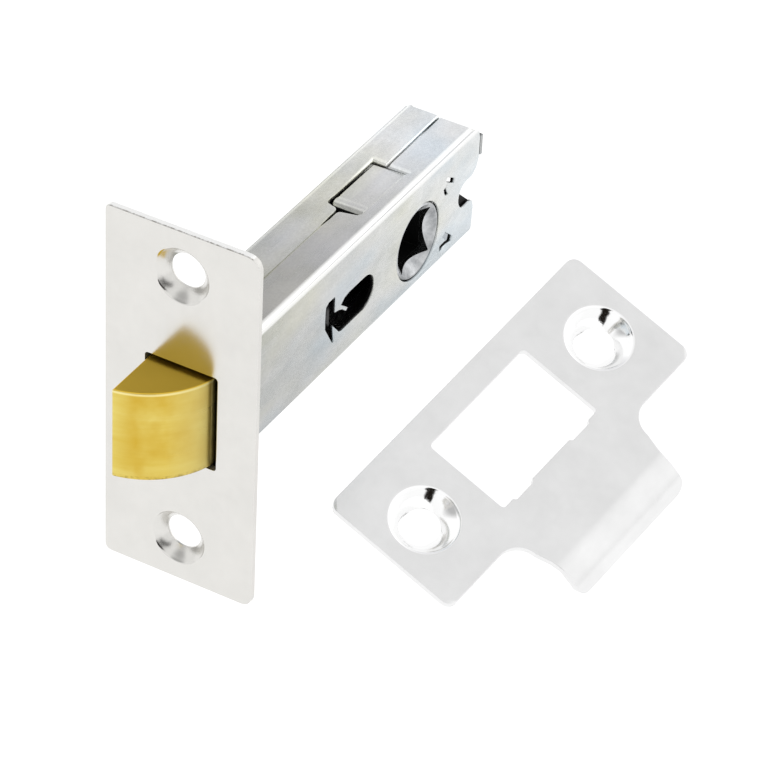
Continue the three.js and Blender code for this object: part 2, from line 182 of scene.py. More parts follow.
def edge_distance(points, loops):
    """How far each point lies from the nearest side of any loop."""
    best = np.full(len(points), 1e9)
    for loop in loops:
        a = np.array(loop)
        b = np.roll(a, -1, 0)
        for start, end in zip(a, b):
            d = end - start
            t = np.clip(((points - start) @ d) / (d @ d), 0, 1)
            best = np.minimum(best, np.linalg.norm(points - start - t[:, None] * d, axis=1))
    return best


# ---------------------------------------------------------------- meshes


def add_object(name, verts, faces):
    mesh = bpy.data.meshes.new(name)
    mesh.from_pydata([tuple(v) for v in np.asarray(verts) * MM], [], faces)
    mesh.validate()
    obj = bpy.data.objects.new(name, mesh)
    bpy.context.scene.collection.objects.link(obj)
    return obj


def shade(obj, angle=32, weighted=True):
    """Smooth faces, with edges sharper than the angle kept crisp."""
    bm = bmesh.new()
    bm.from_mesh(obj.data)
    bmesh.ops.recalc_face_normals(bm, faces=bm.faces)
    for face in bm.faces:
        face.smooth = True
    for edge in bm.edges:
        if edge.is_manifold:
            edge.smooth = edge.calc_face_angle(0) < math.radians(angle)
    bm.to_mesh(obj.data)
    bm.free()
    if weighted:
        modifier = obj.modifiers.new("normals", "WEIGHTED_NORMAL")
        modifier.keep_sharp = True
        modifier.weight = 80
    return obj


def sheet_metal(name, outline, holes, lines, surface, thickness, edge=0.12, softness=None):
    """A closed sheet whose shape is given in its flat, unbent state, in millimetres.

    outline and holes are loops, lines are extra (start, end) creases that the mesh follows, and
    surface(u, v, depth) places points that lie depth below the outer face. edge is the rounding of the free
    edges, and softness(u, v) scales it from place to place.
    """
    outline, holes = clean(outline), [clean(h) for h in holes]
    if signed_area(outline) < 0:
        outline = outline[::-1]
    holes = [h if signed_area(h) < 0 else h[::-1] for h in holes]
    loops = [outline] + holes
    points, edges = [], []

    def add_loop(loop):
        start = len(points)
        points.extend(Vector(p) for p in loop)
        count = len(loop)
        edges.extend((start + i, start + (i + 1) % count) for i in range(count))

    for loop in loops:
        add_loop(loop)
        for share in (0.3, 1.0):
            add_loop([tuple(p) for p in inset(loop, edge * share)])
    for start, end in lines:
        points.extend((Vector(start), Vector(end)))
        edges.append((len(points) - 2, len(points) - 1))
    flat, _, tris, *_ = delaunay_2d_cdt(points, edges, [], 0, 1e-5)
    flat = np.array([tuple(p) for p in flat])
    tris = np.array(tris)
    centres = flat[tris].mean(1)
    keep = inside(centres, outline)
    for hole in holes:
        keep &= ~inside(centres, hole)
    tris = tris[keep]
    used = np.unique(tris)
    remap = np.full(len(flat), -1)
    remap[used] = np.arange(len(used))
    flat, tris = flat[used], remap[tris]
    away = np.minimum(edge_distance(flat, loops), edge)
    drop = edge - np.sqrt(np.maximum(edge**2 - (edge - away) ** 2, 0))
    if softness is not None:
        drop = drop * softness(flat[:, 0], flat[:, 1])
    front = surface(flat[:, 0], flat[:, 1], drop)
    back = surface(flat[:, 0], flat[:, 1], thickness - drop)
    count = len(flat)
    faces = [tuple(t) for t in tris] + [tuple(t[::-1] + count) for t in tris]
    borders = dict.fromkeys(pair for t in tris for pair in loop_sides(tuple(t)))
    for a, b in borders:
        if (b, a) not in borders:
            faces.append((b, a, a + count, b + count))
    return shade(add_object(name, np.vstack([front, back]), faces), angle=38)


def face_outwards(obj, merge=0):
    """Turns every face outwards, after merging points closer than merge, in metres."""
    bm = bmesh.new()
    bm.from_mesh(obj.data)
    if merge:
        bmesh.ops.remove_doubles(bm, verts=bm.verts, dist=merge)
    bmesh.ops.recalc_face_normals(bm, faces=bm.faces)
    bm.to_mesh(obj.data)
    bm.free()
    return obj


def lathe(name, profile, axis, centre=(0, 0, 0), steps=96):
    """A closed solid of revolution from (radius, along) points that run round the section."""
    verts, faces = [], []
    count = len(profile)
    for step in range(steps):
        a = 2 * math.pi * step / steps
        for radius, along in profile:
            p = [radius * math.cos(a), radius * math.sin(a)]
            verts.append(tuple(np.insert(p, axis, along) + np.array(centre)))
    for step in range(steps):
        here, there = step * count, (step + 1) % steps * count
        for i in range(count):
            j = (i + 1) % count
            faces.append((here + i, here + j, there + j, there + i))
    return face_outwards(add_object(name, verts, faces), merge=1e-7)


def prism(name, loop, axis, low, high):
    """A loop extruded along an axis; the loop's two coordinates are the other two axes in order."""
    verts = [tuple(np.insert(np.array(p, float), axis, end)) for end in (low, high) for p in loop]
    count = len(loop)
    faces = [tuple(range(count))[::-1], tuple(range(count, 2 * count))]
    faces += [(i, (i + 1) % count, (i + 1) % count + count, i + count) for i in range(count)]
    return face_outwards(add_object(name, verts, faces))


def combine(obj, tool, operation):
    """Cuts or joins a tool into obj, and removes the tool."""
    modifier = obj.modifiers.new("combine", "BOOLEAN")
    modifier.operation = operation
    modifier.solver = "EXACT"
    modifier.object = tool
    bake_modifiers(obj)
    bpy.data.objects.remove(tool)
    return obj


def bake_modifiers(obj):
    """Writes the modifiers' result into the mesh."""
    graph = bpy.context.evaluated_depsgraph_get()
    mesh = bpy.data.meshes.new_from_object(obj.evaluated_get(graph))
    obj.modifiers.clear()
    obj.data = mesh
    mesh.name = obj.name


def bevel(obj, width, segments=2, angle=40):
    """Rounds the edges sharper than the angle, width in millimetres."""
    modifier = obj.modifiers.new("bevel", "BEVEL")
    modifier.width = width * MM
    modifier.segments = segments
    modifier.limit_method = "ANGLE"
    modifier.angle_limit = math.radians(angle)


def coil(name, radius, wire, turns, y0, y1, sides=10, per_turn=40):
    """A compression spring along Y with closed ends."""
    steps = int(turns * per_turn)
    t = np.linspace(0, 1, steps + 1)
    closed = 0.9 / turns
    pitch = np.clip(np.minimum(t, 1 - t) / closed, 0.12, 1)
    along = np.concatenate([[0], np.cumsum((pitch[1:] + pitch[:-1]) / 2)])
    along /= along[-1]
    low, high = y0 + wire, y1 - wire
    angle = 2 * np.pi * turns * t
    path = np.stack([radius * np.cos(angle), low + (high - low) * along, radius * np.sin(angle)], 1)
    tangent = np.gradient(path, axis=0)
    tangent /= np.linalg.norm(tangent, axis=1)[:, None]
    outward = np.stack([np.cos(angle), 0 * angle, np.sin(angle)], 1)
    across = np.cross(tangent, outward)
    verts, faces = [], []
    for k in range(steps + 1):
        for s in range(sides):
            a = 2 * math.pi * s / sides
            verts.append(path[k] + wire * (math.cos(a) * outward[k] + math.sin(a) * across[k]))
    for k in range(steps):
        for s in range(sides):
            n = (s + 1) % sides
            faces.append((k * sides + s, k * sides + n, (k + 1) * sides + n, (k + 1) * sides + s))
    faces.append(tuple(range(sides))[::-1])
    faces.append(tuple(range(steps * sides, (steps + 1) * sides)))
    return shade(add_object(name, verts, faces), angle=50, weighted=False)


# ---------------------------------------------------------------- materials


class Nodes:
    """Short spelling for building the node tree of a new material or world."""

    def __init__(self, name, owners=None, shader="Principled BSDF", coordinates="Object"):
        self.owner = (bpy.data.materials if owners is None else owners).new(name)
        self.owner.use_nodes = True
        self.tree = self.owner.node_tree
        self.shader = self.tree.nodes[shader]
        self.coordinates = self.new("TexCoord").outputs[coordinates]

    def new(self, kind, inputs=None):
        """A new node, with some of its inputs set."""
        node = self.tree.nodes.new("ShaderNode" + kind)
        for name, value in (inputs or {}).items():
            node.inputs[name].default_value = value
        return node

    def link(self, source, target):
        self.tree.links.new(source, target)

    def feed(self, value, socket):
        """Links a node's output to the socket, or sets the socket to a number or a colour."""
        if isinstance(value, (tuple, float, int)):
            socket.default_value = (*value, 1) if isinstance(value, tuple) else value
        else:
            self.link(value, socket)

    def invert(self, value):
        return self.math("SUBTRACT", 1.0, value)

    def product(self, *values):
        result = values[0]
        for value in values[1:]:
            result = self.math("MULTIPLY", result, value)
        return result

    def mapped(self, scale, location=(0, 0, 0)):
        node = self.new("Mapping", {"Scale": scale, "Location": location})
        self.link(self.coordinates, node.inputs["Vector"])
        return node.outputs["Vector"]

    def noise(self, scale, detail=4, roughness=0.55, location=(0, 0, 0)):
        """Noise with features about 1000 / scale millimetres across on each axis."""
        node = self.new("TexNoise", {"Scale": 1, "Detail": detail, "Roughness": roughness})
        self.link(self.mapped(scale, location), node.inputs["Vector"])
        return node.outputs["Fac"]

    def ramp(self, factor, stops):
        node = self.new("ValToRGB")
        elements = node.color_ramp.elements
        elements[0].position, elements[0].color = stops[0][0], (*stops[0][1], 1)
        elements[1].position, elements[1].color = stops[-1][0], (*stops[-1][1], 1)
        for position, colour in stops[1:-1]:
            elements.new(position).color = (*colour, 1)
        self.link(factor, node.inputs["Fac"])
        return node.outputs["Color"]

    def spread(self, factor, low, high, from_low=0.3, from_high=0.7):
        limits = {"From Min": from_low, "From Max": from_high, "To Min": low, "To Max": high}
        node = self.new("MapRange", limits)
        self.link(factor, node.inputs["Value"])
        return node.outputs["Result"]

    def mix(self, factor, a, b, blend="MIX"):
        node = self.new("Mix")
        node.data_type = "RGBA"
        node.blend_type = blend
        for value, index in ((factor, 0), (a, 6), (b, 7)):
            self.feed(value, node.inputs[index])
        return node.outputs[2]

    def math(self, operation, a, b):
        node = self.new("Math")
        node.operation = operation
        for value, socket in zip((a, b), node.inputs):
            self.feed(value, socket)
        return node.outputs[0]

    def bump(self, height, strength, distance, normal=None):
        node = self.new("Bump", {"Strength": strength, "Distance": distance * MM})
        self.link(height, node.inputs["Height"])
        if normal is not None:
            self.link(normal, node.inputs["Normal"])
        return node.outputs["Normal"]

    def coordinate(self, axis):
        split = self.new("SeparateXYZ")
        self.link(self.coordinates, split.inputs[0])
        return split.outputs[axis]

    def measure(self, operation, vector):
        """The coordinates' distance from a fixed vector, or their dot product with it."""
        node = self.new("VectorMath")
        node.operation = operation
        self.link(self.coordinates, node.inputs[0])
        node.inputs[1].default_value = vector
        return node.outputs["Value"]

    def along(self, axis, start, end, low, high):
        """A value that runs evenly from low to high between two object coordinates in millimetres."""
        return self.spread(self.coordinate(axis), low, high, start * MM, end * MM)

    def within(self, axis, limit, soft):
        """1 where the object coordinate on the axis is inside +-limit millimetres, 0 outside."""
        size = self.math("ABSOLUTE", self.coordinate(axis), 0.0)
        return self.spread(size, 1.0, 0.0, limit * MM, (limit + soft) * MM)

    def polished(self, centres, rim):
        """1 inside the rims of the countersinks round these centres, in millimetres."""
        result = None
        for centre in centres:
            away = self.measure("DISTANCE", [c * MM for c in centre])
            near = self.spread(away, 1.0, 0.0, (rim + 0.05) * MM, (rim + 0.25) * MM)
            result = near if result is None else self.math("MAXIMUM", result, near)
        return result

    def done(self, colour, roughness, normal=None, metallic=1.0):
        self.link(colour, self.shader.inputs["Base Color"])
        self.link(roughness, self.shader.inputs["Roughness"])
        self.shader.inputs["Metallic"].default_value = metallic
        if normal is not None:
            self.link(normal, self.shader.inputs["Normal"])
        return self.owner


# Nearly black, for painted shade in hollows.
PAINTED_SHADE_BLACK = (0.012, 0.012, 0.012)


def satin_nickel():
    """Even warm-white satin plate with a very fine grain and a few faint handling marks."""
    n = Nodes("satin_nickel")
    cloud = n.noise((110, 110, 110), 9, 0.75)
    grain = n.noise((9000, 9000, 9000), 2)
    marks = n.noise((400, 900, 260), 6, 0.7, (3, 1, 2))
    colour = n.ramp(cloud, [(0.3, (0.685, 0.675, 0.648)), (0.7, (0.745, 0.733, 0.705))])
    colour = n.mix(n.spread(marks, 0.0, 0.35, 0.62, 0.8), colour, (0.70, 0.68, 0.65))
    cut = n.along(1, 0.12, 0.3, 0.0, 1.0)
    rim = n.invert(n.within(2, face_high[2] - 0.3, 0.1))
    colour = n.mix(n.product(cut, rim), colour, (1.0, 1.0, 0.98))
    soot = n.noise((2600, 400, 2600), 2, 0.5, (8, 1, 3))
    dirt = n.product(n.along(1, 0.05, 0.12, 0.0, 1.0), n.along(1, 0.4, 0.2, 0.0, 1.0), rim)
    colour = n.mix(n.product(dirt, n.spread(soot, 0.1, 0.85, 0.4, 0.6)), colour, (0.25, 0.23, 0.2))
    roughness = n.math("ADD", n.spread(grain, 0.16, 0.21), n.spread(marks, 0.0, 0.06, 0.55, 0.8))
    roughness = n.math("MAXIMUM", roughness, n.product(cut, 0.45))
    turned = n.polished([(0, 0, side * FACE_SCREW_SPACING / 2) for side in (-1, 1)], FACE_SINK["rim"])
    roughness = n.product(roughness, n.invert(n.product(turned, 0.45)))
    return n.done(colour, roughness, n.bump(grain, 0.12, 0.02))


def satin_steel():
    """Bright satin-polished plate with fine cloudy grain and short scratches."""
    n = Nodes("satin_steel")
    cloud = n.noise((120, 120, 120), 6, 0.65)
    grain = n.noise((7000, 7000, 7000), 2)
    scratch = n.noise((1500, 150, 1500), 4, 0.6, (1, 4, 2))
    colour = n.ramp(cloud, [(0.28, (0.76, 0.76, 0.76)), (0.72, (0.84, 0.84, 0.84))])
    roughness = n.math("ADD", n.spread(grain, 0.16, 0.22), n.spread(scratch, 0.0, 0.08, 0.5, 0.8))
    origin, long, _, _ = strike_frame()
    centres = [origin + side * STRIKE["spacing"] / 2 * long for side in (-1, 1)]
    polished = n.polished(centres, STRIKE_SINK["rim"])
    colour = n.mix(polished, colour, (0.96, 0.96, 0.96))
    roughness = n.product(roughness, n.invert(n.product(polished, 0.6)))
    return n.done(colour, roughness, n.bump(grain, 0.15, 0.02))


def zinc_plate():
    """Bright zinc plating on folded sheet: cloudy, faintly blue and yellow, with rubbed streaks.

    Painted light and shade make it darker towards the front than at the rear, most of all on the top, and painted
    shade makes it nearly black inside.
    """
    n = Nodes("zinc_plate")
    cloud = n.noise((140, 60, 140), 6, 0.62)
    tint = n.noise((70, 35, 70), 3, 0.5, (7, 3, 1))
    spangle = n.noise((600, 420, 600), 3, 0.6, (2, 8, 5))
    streak = n.noise((1500, 60, 1500), 5, 0.65, (4, 4, 9))
    colour = n.ramp(cloud, [(0.3, (0.60, 0.62, 0.61)), (0.5, (0.70, 0.71, 0.70)), (0.7, (0.80, 0.80, 0.79))])
    tinted = n.ramp(tint, [(0.38, (0.86, 0.93, 1.0)), (0.5, (1.0, 1.0, 1.0)), (0.64, (1.0, 0.985, 0.87))])
    colour = n.mix(0.9, colour, tinted, "MULTIPLY")
    colour = n.mix(n.spread(spangle, 0.0, 0.22), colour, (0.84, 0.85, 0.84))
    grain = n.noise((3200, 2400, 3200), 3, 0.7, (1, 1, 5))
    smudge = n.noise((230, 120, 230), 6, 0.7, (9, 2, 4))
    colour = n.mix(1.0, colour, n.spread(grain, 0.93, 1.05, 0.35, 0.65), "MULTIPLY")
    colour = n.mix(1.0, colour, n.spread(smudge, 0.94, 1.04, 0.35, 0.65), "MULTIPLY")
    # Painted light and shade: how bright the sides and the two top flanges are along the case, the top painted
    # brighter than the sides towards the rear; the right flange is painted a little greyer as shade.
    side = n.along(1, case_low[1] + 8, spindle[1] + 6, 0.66, 0.99)
    flange = n.math("POWER", n.along(1, case_low[1], spindle[1] + 8, 0.0, 1.0), 1.8)
    flange = n.math("ADD", n.product(flange, 0.64), 0.68)
    right = n.product(n.along(0, -0.1, 0.3, 0.0, 1.0), n.along(1, 40, 60, 0.13, 0.03))
    flange = n.math("SUBTRACT", flange, right)
    top = n.along(2, case_high[2] - 0.9, case_high[2] - 0.4, 0.0, 1.0)
    # Painted light and shade: the top and the sides brighten towards the rear, each at its own rate.
    painted_light_gradient = n.math("ADD", side, n.product(top, n.math("SUBTRACT", flange, side)))
    colour = n.mix(1.0, colour, painted_light_gradient, "MULTIPLY")
    # Painted shade: the right flange's top is tinted a cool grey.
    colour = n.mix(n.product(top, right), colour, (0.74, 0.70, 0.80))
    # The top right bend is painted bright, a painted highlight.
    outward = n.along(0, case_high[0] - 1.15, case_high[0] - 0.8, 0.0, 0.75)
    bend = n.product(outward, n.along(2, case_high[2] - 1.6, case_high[2] - 1.2, 0.0, 1.0))
    colour = n.mix(bend, colour, (0.93, 0.93, 0.92))
    roughness = n.math("ADD", n.spread(cloud, 0.20, 0.31), n.spread(streak, -0.02, 0.08))
    # Painted shade: the inside of the case is coloured nearly black.
    inside = n.product(n.within(0, case_high[0] - 0.4, 0.1), n.within(2, case_high[2] - 1.12, 0.1))
    colour = n.mix(inside, colour, PAINTED_SHADE_BLACK)
    roughness = n.math("MAXIMUM", roughness, n.product(inside, 0.6))
    # The strip folded across the back is painted dark, as painted shade.
    colour = n.mix(n.along(1, case_high[1] - 0.9, case_high[1] - 0.5, 0.0, 0.6), colour, (0.1, 0.1, 0.1))
    normal = n.bump(spangle, 0.16, 0.03)
    return n.done(colour, roughness, n.bump(streak, 0.10, 0.02, normal))


def brass():
    """Yellow brass, drawn and rubbed, warmer on the nose, worn along its foot, with a painted highlight along its
    top edge, painted shade towards its right end and on its top face.
    """
    n = Nodes("brass")
    lines = n.noise((70, 70, 2600), 6, 0.7)
    bands = n.noise((60, 60, 520), 4, 0.6, (5, 2, 3))
    patch = n.noise((170, 170, 150), 3, 0.5, (1, 6, 2.4))
    tones = [(0.3, (0.70, 0.55, 0.12)), (0.55, (0.76, 0.64, 0.18)), (0.75, (0.82, 0.73, 0.26))]
    colour = n.ramp(bands, tones)
    amber = n.product(n.along(0, -5.4, -2.0, 0.1, 1.0), n.spread(patch, 0.4, 0.9, 0.4, 0.65))
    colour = n.mix(amber, colour, (0.60, 0.39, 0.04))
    specks = n.noise((1500, 1500, 1500), 4, 0.7, (6, 6, 6))
    foot = n.along(2, bolt_low[2] + 0.15, bolt_low[2] - 0.35, 0.0, 1.0)
    worn = n.product(foot, n.spread(specks, 0.0, 0.8, 0.45, 0.6))
    colour = n.mix(worn, colour, (0.22, 0.15, 0.04))
    flat = n.along(2, bolt_high[2] - 0.08, bolt_high[2], 0.0, 1.0)
    # Painted highlight: a band just below the top edge is painted bright.
    rim = n.math("SUBTRACT", n.along(2, bolt_high[2] - 0.5, bolt_high[2] - 0.3, 0.0, 0.7), flat)
    colour = n.mix(rim, colour, (0.95, 0.86, 0.42))
    # Painted shade: darker and greyer towards the right end.
    colour = n.mix(n.along(0, 1.5, bolt_high[0], 0.0, 0.6), colour, (0.58, 0.49, 0.19))
    # Painted shade: the top face is coloured a darker gold.
    colour = n.mix(flat, colour, (0.80, 0.54, 0.065))
    roughness = n.math("ADD", n.spread(lines, 0.24, 0.36), n.spread(patch, 0.0, 0.05))
    return n.done(colour, roughness, n.bump(lines, 0.22, 0.03))


def cast_zinc():
    """Machined zinc casting: turned rings on the cone, and a square hole painted nearly black as shade."""
    n = Nodes("cast_zinc")
    cloud = n.noise((260, 260, 260), 5, 0.6)
    rings = n.noise((2600, 300, 300), 3, 0.6)
    colour = n.ramp(cloud, [(0.36, (0.30, 0.31, 0.32)), (0.64, (0.66, 0.67, 0.68))])
    # Painted shade: the walls of the square hole are coloured nearly black.
    bore = n.within(0, follower_high[0] - 1.95, 0.12)
    colour = n.mix(bore, colour, PAINTED_SHADE_BLACK)
    roughness = n.math("MAXIMUM", n.spread(rings, 0.14, 0.26), n.product(bore, 0.6))
    return n.done(colour, roughness, n.bump(rings, 0.12, 0.03))


def inner_steel():
    """Pressed steel coloured nearly black, with a thin film of oil."""
    n = Nodes("inner_steel")
    cloud = n.noise((200, 90, 200), 5, 0.6)
    grain = n.noise((2500, 400, 2500), 3, 0.6)
    colour = n.ramp(cloud, [(0.3, (0.025, 0.025, 0.025)), (0.7, (0.05, 0.05, 0.05))])
    return n.done(colour, n.spread(grain, 0.34, 0.5), n.bump(grain, 0.2, 0.02))


def spring_steel():
    """Drawn wire and turned steel, slightly blued."""
    n = Nodes("spring_steel")
    cloud = n.noise((500, 300, 500), 4, 0.6)
    drawn = n.noise((4000, 4000, 4000), 3)
    colour = n.ramp(cloud, [(0.3, (0.36, 0.37, 0.39)), (0.7, (0.52, 0.53, 0.54))])
    return n.done(colour, n.spread(drawn, 0.24, 0.38), n.bump(drawn, 0.12, 0.01))


def place(obj, body, slot, *nodes):
    """Gives a new piece its material and its body, and hides the CAD nodes it stands for."""
    obj.data.materials.clear()
    obj.data.materials.append(materials[slot])
    if body is not None:
        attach(obj, body)
    if nodes:
        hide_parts(*nodes)
    return obj


# ---------------------------------------------------------------- pressed countersinks


def countersink(rim, hole, cone, land, thickness):
    """Rings and a mapping for a screw hole that is pressed through a sheet.

    The flat sheet's rings from hole - land outwards become the land, the cone and the rim.
    """
    bottom = cone + land
    wall, shoulder_radius, swell = 0.75, 0.25, 0.14
    tilt = math.atan2(cone, rim - hole)
    # Front profile in (radius, depth): the land's wall, a rounded shoulder, the cone, a rounded rim.
    front = [(hole, bottom)]
    for a in np.linspace(0, tilt, 5):
        turn = shoulder_radius * (1 - math.cos(a))
        front.append((hole + turn, cone + 0.12 - shoulder_radius * math.sin(a)))
    shoulder = front[-1]
    top = (rim - 0.3, 0.3 * math.tan(tilt))
    for t in (0.08, 0.24, 0.4, 0.6, 0.76, 0.92, 1):
        bulge = swell * math.sin(math.pi * t)
        front.append((shoulder[0] * (1 - t) + top[0] * t, shoulder[1] * (1 - t) + top[1] * t - bulge))
    front += [(rim + 0.35 * (t - 1) + 0.3 * t, top[1] * (1 - t) ** 2) for t in (0.25, 0.5, 0.75, 1)]
    front += [(rim + 0.6, 0), (rim + 1.5, 0)]
    front_r, front_d = np.array(front).T
    knots = np.linspace(hole - 1.2, rim + 1.5, len(front))
    outer = hole + wall
    back_r = np.interp(knots, [knots[0], knots[3], rim, rim + 1.5],
                       [outer, outer + 0.3, rim + 0.6, rim + 1.5])
    back_d = np.interp(back_r, [outer, outer + 0.3, rim + 0.5, rim + 0.9, rim + 2],
                       [bottom, bottom - 0.08, thickness + 0.12, thickness, thickness])

    def mapping(rho, depth):
        share = depth / thickness
        radius = np.interp(rho, knots, front_r) * (1 - share) + np.interp(rho, knots, back_r) * share
        sunk = np.interp(rho, knots, front_d) * (1 - share) + np.interp(rho, knots, back_d) * share
        return radius, sunk

    return {"knots": knots, "inner": knots[0], "outer": knots[-1], "mapping": mapping}


def press(sink, centres, u, v, depth):
    """Moves the points round each centre into the countersink; returns u, v and depth."""
    u, v, depth = u.copy(), v.copy(), depth.copy()
    for cu, cv in centres:
        rho = np.hypot(u - cu, v - cv)
        near = rho < sink["outer"]
        radius, sunk = sink["mapping"](rho[near], depth[near])
        scale = radius / rho[near]
        u[near] = cu + (u[near] - cu) * scale
        v[near] = cv + (v[near] - cv) * scale
        depth[near] = sunk
    return u, v, depth


def ring_lines(sink, centres, steps=64):
    """Crease lines round each countersink, at each of its rings but the hole's own edge."""
    lines = []
    for cu, cv in centres:
        for radius in sink["knots"][1:]:
            lines += loop_sides(circle(cu, cv, radius, steps))
    return lines


# ---------------------------------------------------------------- faceplate

FACE_THICKNESS = 1.2
FACE_SCREW_SPACING = 46.2
FACE_SINK = {"rim": 4.6, "hole": 2.75, "cone": 1.85, "land": 0.35}
BOLT_GAP = {"left": 0.6, "right": 0.95, "top": 0.7, "bottom": 1.0}
FACE_CORNERS = [1.8, 2.4, 0.8, 1.2]  # bottom right, top right, top left, bottom left


def faceplate():
    x, z = face_high[0], face_high[2]
    centres = [(0, FACE_SCREW_SPACING / 2), (0, -FACE_SCREW_SPACING / 2)]
    sink = countersink(**FACE_SINK, thickness=FACE_THICKNESS)
    holes = [circle(cu, cv, sink["inner"]) for cu, cv in centres]
    window = rounded_rect(
        bolt_low[0] - BOLT_GAP["left"], bolt_high[0] + BOLT_GAP["right"],
        bolt_low[2] - BOLT_GAP["bottom"], bolt_high[2] + BOLT_GAP["top"], 0.5)

    def surface(u, v, depth):
        u, v, depth = press(sink, centres, u, v, depth)
        return np.stack([u, depth, v], 1)

    outline = fillet([(x, -z), (x, z), (-x, z), (-x, -z)], FACE_CORNERS, 8)
    creases = ring_lines(sink, centres)
    plate = sheet_metal("face_plate", outline, holes + [window], creases, surface, FACE_THICKNESS, 0.15)
    return place(plate, "case", "satin_nickel", "faceplate")


# ---------------------------------------------------------------- case

# step is how far the left top flange stands above the right one. seam and tight_seam are half the gap between
# them, behind the window and in front of it.
CASE = {"wall": 0.8, "bend": 1.2, "top_end": 73.2, "ear_end": 75.2}
CASE |= {"step": 0.25, "seam": 0.1, "tight_seam": 0.004, "follower_hole": 6.4}


def case_shell():
    wall, bend = CASE["wall"], CASE["bend"]
    half_x, top, bottom = case_high[0], case_high[2], case_low[2]
    right_top = top - CASE["step"]
    front = FACE_THICKNESS
    mid = bend - wall / 2
    quarter = mid * math.pi / 2

    # The section's straight runs and bends, from the left seam edge round to the right one.
    flange = half_x - bend - CASE["seam"]
    left = top - bottom - 2 * bend
    floor = 2 * (half_x - bend)
    right = right_top - bottom - 2 * bend
    runs = [flange, quarter, left, quarter, floor, quarter, right, quarter, flange]
    stops = np.concatenate([[0], np.cumsum(runs)])
    u_end = stops[-1]
    u_left_flat, u_right_flat = stops[2], stops[6]

    def left_u(z):
        return u_left_flat + (top - bend) - z

    def right_u(z):
        return u_right_flat + z - (bottom + bend)

    def left_top_u(x):
        return -CASE["seam"] - x

    def right_top_u(x):
        return u_end - (x - CASE["seam"])

    # Corner centres and start angles of the four bends, walking round the section.
    corners = [
        (-half_x + bend, top - bend, 90),
        (-half_x + bend, bottom + bend, 180),
        (half_x - bend, bottom + bend, 270),
        (half_x - bend, right_top - bend, 0),
    ]

    window = {"x0": -2.35, "x1": 3.6, "y0": 43.4, "y1": 57.3}
    tab = {"x0": -2.0, "y0": 44.4, "y1": 56.75, "drop": 0.3}
    wrap = {"low": 3.6, "high": 7.1, "start": case_high[1] - bend}

    def section(u, depth):
        """x, z of the section at u, depth below the outer face."""
        x, z = np.zeros_like(u), np.zeros_like(u)
        for k, (length, start) in enumerate(zip(runs, stops)):
            here = (u >= start - 1e-9) & (u <= start + length + 1e-9)
            if k == 0:
                here |= u < 0
            if k == len(runs) - 1:
                here |= u > u_end
            s = u[here] - start
            d = depth[here]
            if k % 2:
                cx, cz, angle = corners[k // 2]
                a = np.radians(angle) + s / length * math.pi / 2
                x[here] = cx + (bend - d) * np.cos(a)
                z[here] = cz + (bend - d) * np.sin(a)
            elif k == 0:
                x[here], z[here] = -CASE["seam"] - s, top - d
            elif k == 2:
                x[here], z[here] = -half_x + d, top - bend - s
            elif k == 4:
                x[here], z[here] = -half_x + bend + s, bottom + d
            elif k == 6:
                x[here], z[here] = half_x - d, bottom + bend + s
            else:
                x[here], z[here] = half_x - bend - s, right_top - d
        return x, z

    def surface(u, v, depth):
        x, z = section(u, depth)
        y = v.copy()
        # The locking tab steps down from the right flange, and its front end rolls over.
        on_tab = (u > right_top_u(window["x1"]) - 1e-6) & (v > tab["y0"] - 0.01) & (v < tab["y1"] + 0.01)
        across = np.clip((u - right_top_u(window["x1"])) / 0.5, 0, 1)
        z -= np.where(on_tab, tab["drop"] * across * across * (3 - 2 * across), 0)
        roll = np.clip((tab["y0"] + 0.9 - v) / 0.9, 0, 1)
        ridge = 0.16 * np.sin(np.clip((v - tab["y0"] - 0.2) / 2.0, 0, 1) * math.pi)
        z += np.where(on_tab, ridge * across - 1.1 * roll**2 * across, 0)
        # Both flanges' edges behind the window are pressed down a little.
        near = np.clip(1 - (v - window["y1"]) / 0.9, 0, 1)
        left_lip = np.clip((left_top_u(window["x0"] - 0.6) - u) / 0.6, 0, 1) * (u < flange)
        right_lip = np.clip((u - right_top_u(window["x1"] + 0.5)) / 0.5, 0, 1)
        behind = (v > window["y1"] - 0.01) & ~on_tab
        z -= np.where(behind, 0.5 * near**2 * np.maximum(left_lip, right_lip), 0)
        # The flanges meet tightly in front of the window and stand a little apart behind it.
        tight = (CASE["seam"] - CASE["tight_seam"]) * np.clip((window["y0"] - 3 - v) / 2.4, 0, 1)
        x += tight * np.clip(1 - u / 2, 0, 1) * (u < flange)
        x -= tight * np.clip(1 - (u_end - u) / 2, 0, 1) * (u > stops[8]) * ~on_tab
        # The left ear's strip is folded across the back.
        beyond = v - wrap["start"]
        strip = (beyond > 0) & (u > stops[2] - 1e-6) & (u < stops[3] + 1e-6)
        a = np.clip(beyond / mid, 0, math.pi / 2)
        straight = np.maximum(beyond - quarter, 0)
        x = np.where(strip, -half_x + bend - (bend - depth) * np.cos(a) + straight, x)
        y = np.where(strip, wrap["start"] + (bend - depth) * np.sin(a), y)
        # Half-pierced pips are pushed inwards on both sides.
        for sign, to_u in ((1, right_u), (-1, left_u)):
            for py, pz in PIPS:
                d = np.hypot((v - py) / 1.25, (u - to_u(pz)) / 1.25)
                x -= sign * 0.28 * np.clip(1 - d * d, 0, 1) ** 1.5
        return np.stack([x, y, z], 1)

    # Rear end of one ear in (v, z), from the top sheet's end round to the bottom's.
    centre = 71.6
    ear_line = [(CASE["top_end"], right_top - 0.2), (CASE["ear_end"] - 0.5, right_top - 0.9),
                (CASE["ear_end"], right_top - 2.6), (CASE["ear_end"], 3.4), (74.6, 2.0), (73.3, 1.1)]
    notch_arc = arc(centre, -1.2, 2.3, 90, 270, 14)
    lower_ear = [(72.9, -3.5), (73.9, -3.9), (74.25, -5.1), (74.0, bottom + 1)]

    outline = [(0, front), (stops[1] + quarter / 2, front), (u_end, front)]
    outline += [(u_end, window["y0"] - 5.5), (u_end, window["y0"] - 3)]
